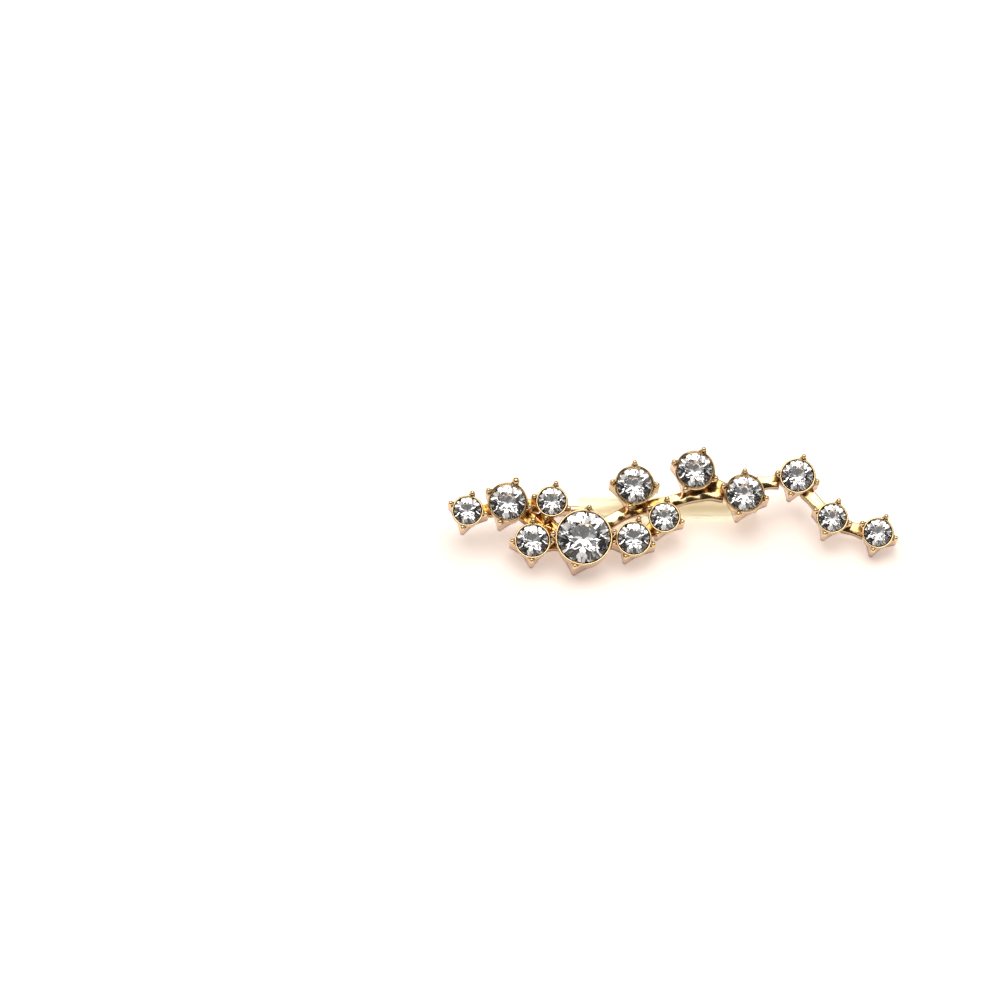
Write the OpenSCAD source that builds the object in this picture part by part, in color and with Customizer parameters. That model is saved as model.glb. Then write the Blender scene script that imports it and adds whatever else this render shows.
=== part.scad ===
/* [Stones] */
// Width of the small stones
small_stone_d = 2.6; // [2.2:0.1:3.2]
// Width of the medium stones
medium_stone_d = 3.0; // [2.6:0.1:3.6]
// Width of the wide stones
wide_stone_d = 3.4; // [3.0:0.1:4.0]
// Width of the large stone
large_stone_d = 5.0; // [4.4:0.1:6.0]
// Table width as a share of the stone's width
table_share = 0.50; // [0.4:0.01:0.6]
// Crown height as a share of the stone's width
crown_share = 0.20; // [0.12:0.01:0.26]
// Girdle height as a share of the stone's width
girdle_share = 0.04; // [0.02:0.01:0.08]
// Pavilion depth as a share of the stone's width
pavilion_share = 0.42; // [0.36:0.01:0.46]

/* [Cups] */
// Room between a stone and its cup
stone_gap = 0.04; // [0.02:0.01:0.08]
// Thickness of the cup wall at the rim
cup_wall = 0.22; // [0.18:0.01:0.35]
// How much the cup draws in from its rim to its base
cup_taper = 0.30; // [0.1:0.05:0.4]
// Metal left under the stone at the back of the cup
cup_back = 0.35; // [0.25:0.05:0.6]
// Space between the point of a stone and the cup floor
point_room = 0.3; // [0.1:0.05:0.5]
// Extra height that all the cups share
cup_lift = 0.42; // [0.2:0.02:0.8]
// How far the rim stands over the girdle of most stones
rim_over = 0.08; // [0.04:0.01:0.2]
// How far the rim stands over the girdle of the wide stones
deep_rim_over = 0.32; // [0.1:0.01:0.4]

/* [Prongs] */
// Radius of the prong posts
post_r = 0.26; // [0.2:0.01:0.35]
// Radius of the neck under each ball
neck_r = 0.16; // [0.12:0.01:0.2]
// Radius of the ball on each prong
ball_r = 0.25; // [0.2:0.01:0.35]
// How far the post stands out from the cup wall
post_out = 0.20; // [0.1:0.01:0.24]
// Height of the ball's centre over the rim
ball_rise = 0.14; // [0.05:0.01:0.3]
// Radius of the one swollen ball
knob_r = 0.36; // [0.25:0.01:0.4]
// How deep the sides of the spurs run into the base of the cup
spur_sink = 0.10; // [0.05:0.01:0.2]

/* [Links] */
// Free length of the longest link between two cups
link_gap = 2.0; // [1.6:0.1:3]
// Width of the links
link_w = 1.25; // [0.8:0.05:1.4]
// Height of the links
link_h = 0.95; // [0.7:0.05:1.2]
// Radius of the knot where four cups meet
knot_r = 1.15; // [0.8:0.05:1.5]

/* [Ear wire] */
// Radius of the ear wire
wire_r = 0.4; // [0.3:0.05:0.5]
// Space between the back of the cups and the sleeve
ear_gap = 1.9; // [1.4:0.1:3]
// Radius of the wire's bend
bend_r = 0.9; // [0.7:0.1:1.2]
// Bare wire between the bend and the sleeve
bare_l = 1.0; // [0.6:0.1:2]
// Bare wire past the far end of the sleeve
tip_l = 1.4; // [1:0.1:3]
// Turn of the wire towards the front edge
wire_turn = 4.5; // [0:0.5:8]
// Height of the solder round the wire's root
solder_h = 0.35; // [0.2:0.05:0.6]
// Radius of the solder at the cup
solder_r = 0.8; // [0.6:0.05:1]

/* [Sleeve] */
// Length of the sleeve
sleeve_l = 15.6; // [10:0.2:18]
// Outer radius of the sleeve
sleeve_r = 1.1; // [0.9:0.05:1.3]
// Bore radius of the sleeve
bore_r = 0.7; // [0.55:0.05:0.8]
// Least room between the wire and the bore
wire_gap = 0.04; // [0.02:0.01:0.1]

/* [Hidden] */
$fn = 48;
eps = 0.01;

// Kinds of stone: [width, how far the rim stands over the girdle]
SMALL = 0;
MEDIUM = 1;
WIDE = 2;
LARGE = 3;
KINDS = [
    [small_stone_d, rim_over],
    [medium_stone_d, rim_over],
    [wide_stone_d, deep_rim_over],
    [large_stone_d, rim_over]
];

// One row for each cup, from the short end to the tail. Each cup is placed
// from the cup that it grows from: a bearing, and a free gap as a share of
// link_gap. The first of all grows from itself. facet_turn turns the cut, and
// the last column holds the bearings of the four prongs.
KIND = 0;
FROM = 1;
BEARING = 2;
GAP = 3;
FACET_TURN = 4;
PRONGS = 5;
CUPS = [
    [SMALL, 1, 190, 0.20, 4, [74, 156, 253, 349]],
    [WIDE, 2, 182, 0.36, 12, [68, 149, 249, 348]],
    [SMALL, 4, 128, 0.25, 20, [76, 165, 250, 335]],
    [MEDIUM, 4, 181, 0.18, 8, [88, 182, 266, 1]],
    [LARGE, 4, 0, 0, 16, [79, 172, 252, 10]],
    [MEDIUM, 4, 0, 0.15, 0, [75, 190, 245, 341]],
    [WIDE, 7, 133, 0.33, 10, [88, 172, 257, 359]],
    [SMALL, 5, 35, 0.17, 18, [81, 148, 246, 343]],
    [WIDE, 7, 56, 0.93, 6, [66, 159, 242, 336]],
    [WIDE, 8, -26.5, 0.66, 14, [88, 159, 252, 345]],
    [MEDIUM, 9, 18.5, 0.87, 2, [71, 172, 248, 341]],
    [SMALL, 10, -52, 0.96, 12, [68, 156, 243, 341]],
    [SMALL, 11, -19.5, 0.74, 6, [62, 148, 252, 341]]
];

// Links that run straight from cup to cup
PAIRS = [[0, 1], [1, 2], [3, 4], [4, 5], [5, 7], [8, 9], [10, 11], [11, 12]];
// Cups that the knot joins
KNOT = [1, 2, 3, 4];
// Links that pass along the walls of cups: [cup, bearing on its wall]
SPINE = [[4, 40], [6, 268], [7, 100], [8, 283], [9, 170]];
ARCH = [[9, 45], [10, 185]];
// Cup that the ear wire is soldered to, and where: a bearing, and a share of its base
WIRE_CUP = 2;
ROOT_BEARING = 30;
ROOT_SHARE = 0.75;
// Cups and prongs that touch the surface when the piece lies down
NEAR_FOOT = [4, 252];
FAR_FOOT = [12, 252];
// Cup and prong with the swollen ball
KNOB = [1, 68];

function dir(a) = [cos(a), sin(a)];
function sum2(list, i = 0) = i >= len(list) ? [0, 0] : list[i] + sum2(list, i + 1);
function flat3(p, z) = [p[0], p[1], z];

function stone_d(i) = KINDS[CUPS[i][KIND]][0];
function wall_r(i) = stone_d(i) / 2 + stone_gap + cup_wall;
function base_r(i) = wall_r(i) - cup_taper;
function post_at(i) = wall_r(i) + post_out;
function girdle_z(i) = cup_back + point_room + cup_lift + pavilion_share * stone_d(i);
function rim_z(i) = girdle_z(i) + girdle_share * stone_d(i) + KINDS[CUPS[i][KIND]][1];
function ball_z(i) = rim_z(i) + ball_rise;
function step(i) = wall_r(i) + wall_r(CUPS[i][FROM]) + CUPS[i][GAP] * link_gap;
function place(i) = CUPS[i][FROM] == i ? [0, 0] : place(CUPS[i][FROM]) + step(i) * dir(CUPS[i][BEARING]);
function on_wall(w) = place(w[0]) + wall_r(w[0]) * dir(w[1]);
function foot(f) = place(f[0]) + post_at(f[0]) * dir(f[1]);

// The piece lies on two feet and the sleeve. These work out how it leans.
foot_line = foot(FAR_FOOT) - foot(NEAR_FOOT);
heading = atan2(foot_line[1], foot_line[0]);
along = dir(heading);
across = dir(heading + 90);
near_touch = foot(NEAR_FOOT) - post_r * across;
wire_root = place(WIRE_CUP) + ROOT_SHARE * base_r(WIRE_CUP) * dir(ROOT_BEARING);
sleeve_start = flat3(wire_root + (bend_r + bare_l) * dir(heading - wire_turn), -ear_gap - sleeve_r);
rise = (wire_root + (bend_r + bare_l) * dir(heading - wire_turn) - near_touch) * across;
drop = ear_gap + sleeve_r;
lean = asin(sleeve_r / norm([rise, drop])) + atan2(drop, rise);

// Directions of the upright and of the wire, in the frame of the cups
upright = flat3(sin(lean) * across, cos(lean));
level = flat3(cos(lean) * across, -sin(lean));
wire_dir = cos(wire_turn) * flat3(along, 0) - sin(wire_turn) * level;
wire_az = atan2(wire_dir[1], wire_dir[0]);
wire_el = asin(wire_dir[2]);
slack = bore_r - wire_r - wire_gap;
wire_start = sleeve_start - slack * upright;
bend_end = wire_start - bare_l * wire_dir;
leg_xy = [bend_end[0], bend_end[1]] - bend_r * (1 + sin(wire_el)) * dir(wire_az);
leg_z = bend_end[2] + bend_r * cos(wire_el);
run_l = bare_l + sleeve_l + tip_l;

// Corners of the box around the resting piece, from its feet, balls and sleeve
function rested(p) = let (q = p - flat3(near_touch, 0))
    [q * flat3(along, 0), q * level, q * upright];
function cup_marks(i) = [for (a = CUPS[i][PRONGS], z = [ball_r, ball_z(i)])
    rested(flat3(place(i) + post_at(i) * dir(a), z))];
marks = concat(
    [for (i = [0 : len(CUPS) - 1]) each cup_marks(i)],
    [rested(sleeve_start), rested(sleeve_start + sleeve_l * wire_dir)]
);
xs = [for (m = marks) m[0]];
ys = [for (m = marks) m[1]];
centre = [(min(xs) + max(xs)) / 2, (min(ys) + max(ys)) / 2, 0];

// Brilliant cut: table, stars, kites and halves over the girdle, kites and
// halves under it, and a point. Widths are shares of the stone's radius.
FACETS = 8;
CROWN_MID = 0.78;
PAVILION_MID = 0.24;
HALF_TURN = 180 / FACETS;
function ring(n, r, z, turn) = [for (k = [0 : n - 1]) flat3(r * dir(turn + k * 360 / n), z)];

module stone_body(d) {
    r = d / 2;
    girdle_h = girdle_share * d;
    crown_h = crown_share * d;
    pavilion_h = pavilion_share * d;
    table_r = table_share * r;
    crown_mid_r = CROWN_MID * r;
    crown_mid_z = crown_h * (r - crown_mid_r * cos(HALF_TURN)) / (r - table_r);
    pavilion_mid_r = PAVILION_MID * r;
    pavilion_mid_z = -pavilion_h * (1 - pavilion_mid_r * cos(HALF_TURN) / r);
    n = FACETS;
    points = concat(
        ring(n, table_r, girdle_h + crown_h, 0),
        ring(n, crown_mid_r, girdle_h + crown_mid_z, HALF_TURN),
        ring(2 * n, r, girdle_h, 0),
        ring(2 * n, r, 0, 0),
        ring(n, pavilion_mid_r, pavilion_mid_z, HALF_TURN),
        [[0, 0, -pavilion_h]]
    );
    t = 0;
    m = n;
    g = 2 * n;
    b = 4 * n;
    p = 6 * n;
    point = p + n;
    faces = concat(
        [[for (k = [n - 1 : -1 : 0]) t + k]],
        [for (k = [0 : n - 1]) [t + k, t + (k + 1) % n, m + k]],
        [for (k = [0 : n - 1]) [t + k, m + k, g + 2 * k, m + (k + n - 1) % n]],
        [for (k = [0 : n - 1]) [m + k, g + 2 * k + 1, g + 2 * k]],
        [for (k = [0 : n - 1]) [m + k, g + (2 * k + 2) % (2 * n), g + 2 * k + 1]],
        [for (k = [0 : 2 * n - 1]) [g + k, g + (k + 1) % (2 * n), b + (k + 1) % (2 * n), b + k]],
        [for (k = [0 : n - 1]) [b + 2 * k, b + 2 * k + 1, p + k]],
        [for (k = [0 : n - 1]) [b + 2 * k + 1, b + (2 * k + 2) % (2 * n), p + k]],
        [for (k = [0 : n - 1]) [b + 2 * k, p + k, point, p + (k + n - 1) % n]]
    );
    polyhedron(points, faces);
}

// Lays what is modelled with the cups facing up down on the surface
module laid() {
    translate(-centre)
        rotate([lean, 0, 0])
            rotate([0, 0, -heading])
                translate(-flat3(near_touch, 0))
                    children();
}

module cup(i) {
    cylinder(h = rim_z(i), r1 = base_r(i), r2 = wall_r(i));
    for (a = CUPS[i][PRONGS])
        rotate([0, 0, a])
            translate([post_at(i), 0, 0])
                prong(i, [i, a] == KNOB ? knob_r : ball_r);
}

// One prong, from the axis of its post: spur, post, neck and ball
module prong(i, r) {
    spur(i);
    cylinder(h = rim_z(i) - ball_r / 2, r = post_r);
    cylinder(h = ball_z(i), r = neck_r);
    translate([0, 0, ball_z(i)])
        sphere(r = r);
}

// Wedge that widens from the post to both sides of the cup.
// SPUR_EDGE keeps its sides inside the round of the post.
SPUR_EDGE = 0.8;
module spur(i) {
    outer_r = SPUR_EDGE * post_r;
    inner_r = base_r(i) - spur_sink;
    side = dir(acos((inner_r - outer_r) / post_at(i)));
    inner_x = inner_r * side[0] - post_at(i);
    half_w = inner_r * side[1];
    linear_extrude(rim_z(i) - ball_r)
        polygon([
            [outer_r * side[0], -outer_r * side[1]], outer_r * side,
            [inner_x, half_w], [inner_x, -half_w]
        ]);
}

// Room for one stone: a straight bore down to a ledge, then a narrower well
LEDGE = 0.8;
module pocket(i) {
    r = stone_d(i) / 2;
    ledge_z = girdle_z(i) - pavilion_share * stone_d(i) * (1 - LEDGE) - stone_gap;
    translate([0, 0, ledge_z])
        cylinder(h = rim_z(i) - ledge_z + eps, r = r + stone_gap);
    translate([0, 0, cup_back])
        cylinder(h = rim_z(i) - cup_back, r = LEDGE * r);
}

module strip(a, b) {
    translate(a)
        circle(d = link_w);
    translate(b)
        circle(d = link_w);
    translate(a)
        rotate([0, 0, atan2(b[1] - a[1], b[0] - a[0])])
            translate([0, -link_w / 2])
                square([norm(b - a), link_w]);
}

module run(walls) {
    for (k = [0 : len(walls) - 2])
        strip(on_wall(walls[k]), on_wall(walls[k + 1]));
}

module links() {
    knot = sum2([for (i = KNOT) place(i)]) / len(KNOT);
    linear_extrude(link_h) {
        for (pair = PAIRS)
            strip(place(pair[0]), place(pair[1]));
        for (i = KNOT)
            strip(place(i), knot);
        translate(knot)
            circle(r = knot_r);
        run(SPINE);
        run(ARCH);
    }
}

// Leg down from the cup, solder round its root, a bend, and the straight run,
// which is placed from the end of the bend
module ear_wire() {
    translate(flat3(leg_xy, 0)) {
        translate([0, 0, leg_z])
            cylinder(h = cup_back - leg_z, r = wire_r);
        translate([0, 0, -solder_h])
            cylinder(h = solder_h + eps, r1 = wire_r, r2 = solder_r);
        translate([0, 0, leg_z])
            rotate([0, 0, wire_az])
                translate([bend_r, 0, 0])
                    rotate([90, 0, 0])
                        rotate([0, 0, 180]) {
                            rotate_extrude(angle = 90 + wire_el)
                                translate([bend_r, 0])
                                    circle(r = wire_r);
                            rotate([0, 0, 90 + wire_el])
                                translate([bend_r, 0, 0])
                                    rotate([-90, 0, 0])
                                        wire_run();
                        }
    }
}

module wire_run() {
    cylinder(h = run_l, r = wire_r);
    translate([0, 0, run_l])
        sphere(r = wire_r);
}

module frame() {
    color([0.87, 0.68, 0.46])
        laid() {
            difference() {
                union() {
                    links();
                    for (i = [0 : len(CUPS) - 1])
                        translate(place(i))
                            cup(i);
                }
                for (i = [0 : len(CUPS) - 1])
                    translate(place(i))
                        pocket(i);
            }
            ear_wire();
        }
}

module sleeve() {
    color([0.96, 0.92, 0.78, 0.7])
        laid()
            translate(sleeve_start)
                rotate([0, 90 - wire_el, wire_az])
                    difference() {
                        cylinder(h = sleeve_l, r = sleeve_r);
                        translate([0, 0, -eps])
                            cylinder(h = sleeve_l + 2 * eps, r = bore_r);
                    }
}

module stone(i) {
    color([0.9, 0.93, 0.96])
        laid()
            translate(flat3(place(i), girdle_z(i)))
                rotate([0, 0, CUPS[i][FACET_TURN]])
                    stone_body(stone_d(i));
}

frame();
sleeve();
stone(0);  // stone_01
stone(1);  // stone_02
stone(2);  // stone_03
stone(3);  // stone_04
stone(4);  // stone_05
stone(5);  // stone_06
stone(6);  // stone_07
stone(7);  // stone_08
stone(8);  // stone_09
stone(9);  // stone_10
stone(10);  // stone_11
stone(11);  // stone_12
stone(12);  // stone_13
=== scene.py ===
import math
from collections import namedtuple

import bpy
import numpy as np
from bpy.props import FloatProperty, FloatVectorProperty, PointerProperty
from mathutils import Matrix, Vector


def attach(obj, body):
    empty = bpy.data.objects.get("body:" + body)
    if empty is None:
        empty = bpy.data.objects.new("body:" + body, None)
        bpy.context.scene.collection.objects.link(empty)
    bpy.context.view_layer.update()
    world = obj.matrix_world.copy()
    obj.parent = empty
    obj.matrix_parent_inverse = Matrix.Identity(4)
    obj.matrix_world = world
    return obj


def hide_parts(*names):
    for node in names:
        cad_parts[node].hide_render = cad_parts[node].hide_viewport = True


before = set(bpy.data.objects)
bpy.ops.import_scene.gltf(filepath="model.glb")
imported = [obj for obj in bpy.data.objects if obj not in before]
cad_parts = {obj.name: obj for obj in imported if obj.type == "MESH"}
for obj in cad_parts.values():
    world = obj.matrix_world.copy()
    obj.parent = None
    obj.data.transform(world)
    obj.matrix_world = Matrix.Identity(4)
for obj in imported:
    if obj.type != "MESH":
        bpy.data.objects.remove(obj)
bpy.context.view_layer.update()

bl_info = {
    "name": "Ear climber",
    "version": (1, 0, 0),
    "blender": (4, 5, 0),
    "location": "View3D > Sidebar > Ear climber",
    "description": "Dresses a stone-set ear climber round its packed frame, with a plain stage",
    "category": "Object",
}

MM = 0.001
BODY = "root"

# Kinds of stone, in the order of the sizes in StoneSizes
SMALL, MEDIUM, WIDE, LARGE = range(4)

# One row for each cup, from the short end to the tail. A cup is placed from
# the cup that it grows from, by a bearing and a share of the longest gap.
# facet_turn turns the stone's cut, and prongs holds the bearings of its
# prongs. All angles are in degrees.
Cup = namedtuple("Cup", "kind grows_from bearing gap facet_turn prongs")
ROOT_CUP = 4
CUPS = [
    Cup(SMALL, 1, 190, 0.20, 4, (74, 156, 253, 349)),
    Cup(WIDE, 2, 182, 0.36, 12, (68, 149, 249, 348)),
    Cup(SMALL, 4, 128, 0.25, 20, (76, 165, 250, 335)),
    Cup(MEDIUM, 4, 181, 0.18, 8, (88, 182, 266, 1)),
    Cup(LARGE, 4, 0, 0, 16, (79, 172, 252, 10)),
    Cup(MEDIUM, 4, 0, 0.15, 0, (75, 190, 245, 341)),
    Cup(WIDE, 7, 133, 0.33, 10, (88, 172, 257, 359)),
    Cup(SMALL, 5, 35, 0.17, 18, (81, 148, 246, 343)),
    Cup(WIDE, 7, 56, 0.93, 6, (66, 159, 242, 336)),
    Cup(WIDE, 8, -26.5, 0.66, 14, (88, 159, 252, 345)),
    Cup(MEDIUM, 9, 18.5, 0.87, 2, (71, 172, 248, 341)),
    Cup(SMALL, 10, -52, 0.96, 12, (68, 156, 243, 341)),
    Cup(SMALL, 11, -19.5, 0.74, 6, (62, 148, 252, 341)),
]

# Cups that a straight link joins, and cups whose links meet in the knot
PAIRS = [(0, 1), (1, 2), (3, 4), (4, 5), (5, 7), (8, 9), (10, 11), (11, 12)]
KNOT = [1, 2, 3, 4]

# Places on a cup, as (cup, bearing): links that pass along walls, the two
# prongs that the piece stands on, and the prong with the swollen ball
SPINE = [(4, 40), (6, 268), (7, 100), (8, 283), (9, 170)]
ARCH = [(9, 45), (10, 185)]
NEAR_FOOT = (4, 252)
FAR_FOOT = (12, 252)
KNOB = (1, 68)

# Root of the ear wire: its cup, the bearing there, and the share of the base's radius
WIRE_CUP, ROOT_BEARING, ROOT_SHARE = 2, 30, 0.75


def length(name, description, millimetres):
    """A size property, given in millimetres and kept in metres."""
    return FloatProperty(name=name, description=description, default=millimetres * MM, subtype="DISTANCE")


def share(name, description, value):
    """A property that is a share of another size."""
    return FloatProperty(name=name, description=description, default=value, subtype="FACTOR")


def angle(name, description, degrees):
    """An angle property, given in degrees and kept in radians."""
    return FloatProperty(name=name, description=description, default=math.radians(degrees), subtype="ANGLE")


def colour(name, description, code):
    """A colour property whose default is a linear colour worked out from an sRGB hex code."""
    return FloatVectorProperty(
        name=name, description=description, default=linear(code), size=3, subtype="COLOR"
    )


def linear(code):
    """The linear red, green and blue of an sRGB hex code such as #FFCC00."""
    raw = np.array([int(code[k : k + 2], 16) for k in (1, 3, 5)]) / 255
    return tuple(np.where(raw <= 0.04045, raw / 12.92, ((raw + 0.055) / 1.055) ** 2.4))


class StoneSizes(bpy.types.PropertyGroup):
    """Sizes of the cut stones"""

    small_d: length("Small stone", "Width of the small stones", 2.6)
    medium_d: length("Medium stone", "Width of the medium stones", 3.0)
    wide_d: length("Wide stone", "Width of the wide stones", 3.4)
    large_d: length("Large stone", "Width of the large stone", 5.0)
    table: share("Table", "Table width as a share of the stone's width", 0.50)
    crown: share("Crown", "Crown height as a share of the stone's width", 0.20)
    girdle: share("Girdle", "Girdle height as a share of the stone's width", 0.04)
    pavilion: share("Pavilion", "Depth under the girdle as a share of the stone's width", 0.42)


class MetalSizes(bpy.types.PropertyGroup):
    """Sizes of the cups, prongs and links"""

    stone_gap: length("Stone gap", "Room between a stone and its cup", 0.04)
    cup_wall: length("Cup wall", "Thickness of the cup wall at the rim", 0.22)
    cup_taper: length("Cup taper", "How much a cup draws in from rim to base", 0.30)
    cup_back: length("Cup back", "Metal left at the back of a cup", 0.35)
    point_room: length("Point room", "Space under the point of a stone", 0.3)
    cup_lift: length("Cup lift", "Extra height that all the cups share", 0.42)
    rim_over: length("Rim", "How far most rims stand over the girdle", 0.08)
    deep_rim_over: length("Deep rim", "How far the rims of the wide stones stand over the girdle", 0.32)
    post_r: length("Post radius", "Radius of the prong posts", 0.26)
    neck_r: length("Neck radius", "Radius of the neck under a ball", 0.16)
    ball_r: length("Ball radius", "Radius of the ball on a prong", 0.25)
    post_out: length("Post reach", "How far a post stands out from the cup wall", 0.20)
    ball_rise: length("Ball rise", "Height of a ball's centre over the rim", 0.14)
    knob_r: length("Knob radius", "Radius of the one swollen ball", 0.36)
    spur_sink: length("Spur sink", "How deep the sides of the spurs run into the base of a cup", 0.10)
    spur_top: share("Spur top", "Width of a spur at its top as a share of its width at the base", 0.45)
    link_gap: length("Link gap", "Free length of the longest link", 2.0)
    link_w: length("Link width", "Width of the links", 1.25)
    link_h: length("Link height", "Height of the links", 0.95)
    knot_r: length("Knot radius", "Radius of the knot where four cups meet", 1.15)


class WireSizes(bpy.types.PropertyGroup):
    """Sizes of the ear wire and its sleeve"""

    wire_r: length("Wire radius", "Radius of the ear wire", 0.4)
    ear_gap: length("Ear gap", "Space between the back of the cups and the sleeve", 1.9)
    bend_r: length("Bend radius", "Radius of the wire's bend", 0.9)
    bare_l: length("Bare wire", "Bare wire between the bend and the sleeve", 1.0)
    tip_l: length("Wire tip", "Bare wire past the far end of the sleeve", 1.4)
    turn: angle("Wire turn", "Turn of the wire towards the front edge", 4.5)
    solder_h: length("Solder height", "Height of the solder round the wire's root", 0.35)
    solder_r: length("Solder radius", "Radius of the solder at the cup", 0.8)
    sleeve_l: length("Sleeve length", "Length of the sleeve", 15.6)
    sleeve_r: length("Sleeve radius", "Outer radius of the sleeve", 1.1)
    bore_r: length("Bore radius", "Bore radius of the sleeve", 0.7)
    wire_gap: length("Wire gap", "Least room between the wire and the bore", 0.04)


class Finishes(bpy.types.PropertyGroup):
    """Colours of the finishes"""

    gold: colour("Plating", "Pale gold plating where it is polished", "#EDD2A0")
    # Painted shade: a darker tone on faces turned away from the cups' front
    side: colour("Side", "Plating on the sides, which the polishing wheel misses", "#CDA988")
    # Painted shade: a brown band low on the walls, at their foot
    foot: colour("Foot", "Plating thinned to a brown line along the foot of the walls", "#7E583C")
    # Painted shade: dark amber deep in corners, where nearby metal shuts out the light
    recess: colour("Recess", "Plating deep in a corner, where polish doesn't reach", "#A5661C")
    # Painted shade: amber on the links where cups crowd round them, warm like light bounced between gold
    amber: colour("Amber", "Plating of the links where cups stand close round them", "#C58A34")
    glass: colour("Glass", "Clear glass of the stones", "#FFFFFF")
    foil: colour("Foil", "Silver foil on the back of the stones", "#F3F1F0")
    silicone: colour("Silicone", "Clear silicone that has yellowed a little", "#FFFAE8")
    floor: colour("Floor", "Pale surface that the piece lies on", "#FFF2E8")


class StageSettings(bpy.types.PropertyGroup):
    """Camera"""

    distance: length("Camera distance", "From the aim point to the camera", 442.9)
    elevation: angle("Elevation", "Height of the camera over the surface", 47.5)
    azimuth: angle("Azimuth", "Turn of the camera about the upright", 2.2)
    roll: angle("Roll", "Tilt of the camera about its own axis", -1.89)
    aim_across: length("Aim across", "Middle of the picture, to the right of the origin", -16.47)
    aim_up: length("Aim up", "Middle of the picture, above the origin in the picture", 4.4)
    scale: FloatProperty(
        name="Scale", description="Picture points for a millimetre at the aim point", default=10.338
    )


SECTIONS = {
    "climber_stones": StoneSizes,
    "climber_metal": MetalSizes,
    "climber_wire": WireSizes,
    "climber_finish": Finishes,
    "climber_stage": StageSettings,
}


def bearing(degrees):
    """Unit vector in the plane of the cups at that bearing."""
    turn = math.radians(degrees)
    return np.array([math.cos(turn), math.sin(turn), 0.0])


class Plan:
    """Where everything is.

    It is worked out in the frame of the cups (+Z out of the stones), then laid on the surface.
    """

    def __init__(self, scene):
        self.stone = scene.climber_stones
        self.metal = scene.climber_metal
        self.wire = scene.climber_wire
        self.lay()
        self.route_wire()

    def stone_d(self, i):
        """Width of a cup's stone."""
        stone = self.stone
        return (stone.small_d, stone.medium_d, stone.wide_d, stone.large_d)[CUPS[i].kind]

    def wall_r(self, i):
        """Radius of a cup's outer wall at the rim."""
        return self.stone_d(i) / 2 + self.metal.stone_gap + self.metal.cup_wall

    def base_r(self, i):
        """Radius of a cup at its base."""
        return self.wall_r(i) - self.metal.cup_taper

    def post_at(self, i):
        """Distance of a prong's middle from the middle of its cup."""
        return self.wall_r(i) + self.metal.post_out

    def girdle_z(self, i):
        """Height of the lower edge of a stone's girdle."""
        metal = self.metal
        return metal.cup_back + metal.point_room + metal.cup_lift + self.stone.pavilion * self.stone_d(i)

    def rim_z(self, i):
        """Height of a cup's rim."""
        over = self.metal.deep_rim_over if CUPS[i].kind == WIDE else self.metal.rim_over
        return self.girdle_z(i) + self.stone.girdle * self.stone_d(i) + over

    def ball_z(self, i):
        """Height of the middle of a prong's ball."""
        return self.rim_z(i) + self.metal.ball_rise

    def place(self, i):
        """Centre of a cup's base."""
        if i == ROOT_CUP:
            return np.zeros(3)
        cup = CUPS[i]
        step = self.wall_r(i) + self.wall_r(cup.grows_from) + cup.gap * self.metal.link_gap
        return self.place(cup.grows_from) + step * bearing(cup.bearing)

    def on_wall(self, spot):
        """Point of the plane on a cup's outer wall, given as (cup, bearing)."""
        return self.place(spot[0]) + self.wall_r(spot[0]) * bearing(spot[1])

    def foot(self, spot):
        """Middle of a prong's foot, given as (cup, bearing)."""
        return self.place(spot[0]) + self.post_at(spot[0]) * bearing(spot[1])

    def lay(self):
        """Tips the flat of the cups until two feet and the sleeve touch the surface."""
        wire = self.wire
        line = self.foot(FAR_FOOT) - self.foot(NEAR_FOOT)
        heading = math.degrees(math.atan2(line[1], line[0]))
        across = bearing(heading + 90)
        face = np.array([0.0, 0.0, 1.0])
        self.touch = self.foot(NEAR_FOOT) - self.metal.post_r * across
        root = self.place(WIRE_CUP) + ROOT_SHARE * self.base_r(WIRE_CUP) * bearing(ROOT_BEARING)
        drop = wire.ear_gap + wire.sleeve_r
        lead = wire.bend_r + wire.bare_l
        self.sleeve_start = root + lead * bearing(heading - math.degrees(wire.turn)) - drop * face
        rise = (self.sleeve_start - self.touch) @ across
        lean = math.asin(wire.sleeve_r / math.hypot(rise, drop)) + math.atan2(drop, rise)
        self.along = bearing(heading)
        self.upright = math.sin(lean) * across + math.cos(lean) * face
        self.level = math.cos(lean) * across - math.sin(lean) * face
        self.wire_dir = math.cos(wire.turn) * self.along - math.sin(wire.turn) * self.level
        self.centre = np.zeros(3)
        marks = self.rest(np.array(self.marks()))
        self.centre = np.array([*(marks.min(0) + marks.max(0))[:2] / 2, 0.0])

    def marks(self):
        """Feet and balls of the prongs and the ends of the sleeve, which set the middle of the box."""
        points = [self.sleeve_start, self.sleeve_start + self.wire.sleeve_l * self.wire_dir]
        for i, cup in enumerate(CUPS):
            for turn in cup.prongs:
                for z in (self.metal.ball_r, self.ball_z(i)):
                    points.append(self.place(i) + self.post_at(i) * bearing(turn) + [0, 0, z])
        return points

    def rest(self, points):
        """Takes points from the frame of the cups to the row frame."""
        axes = np.stack([self.along, self.level, self.upright], axis=1)
        return (points - self.touch) @ axes - self.centre

    def rest_normal(self):
        """The way that the cups face, in the row frame."""
        return (self.along[2], self.level[2], self.upright[2])

    def route_wire(self):
        """Straight leg out of the cup, one round bend, then the straight run through the sleeve."""
        wire = self.wire
        slack = wire.bore_r - wire.wire_r - wire.wire_gap
        run_start = self.sleeve_start - slack * self.upright
        self.bend_end = run_start - wire.bare_l * self.wire_dir
        flat = np.array([*self.wire_dir[:2], 0.0])
        self.wire_out = flat / np.linalg.norm(flat)
        self.wire_climb = math.asin(self.wire_dir[2])
        back = wire.bend_r * (1 + math.sin(self.wire_climb))
        self.leg = self.bend_end - back * self.wire_out
        self.leg[2] += wire.bend_r * math.cos(self.wire_climb)


Shell = namedtuple("Shell", "points quads triangles")


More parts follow.
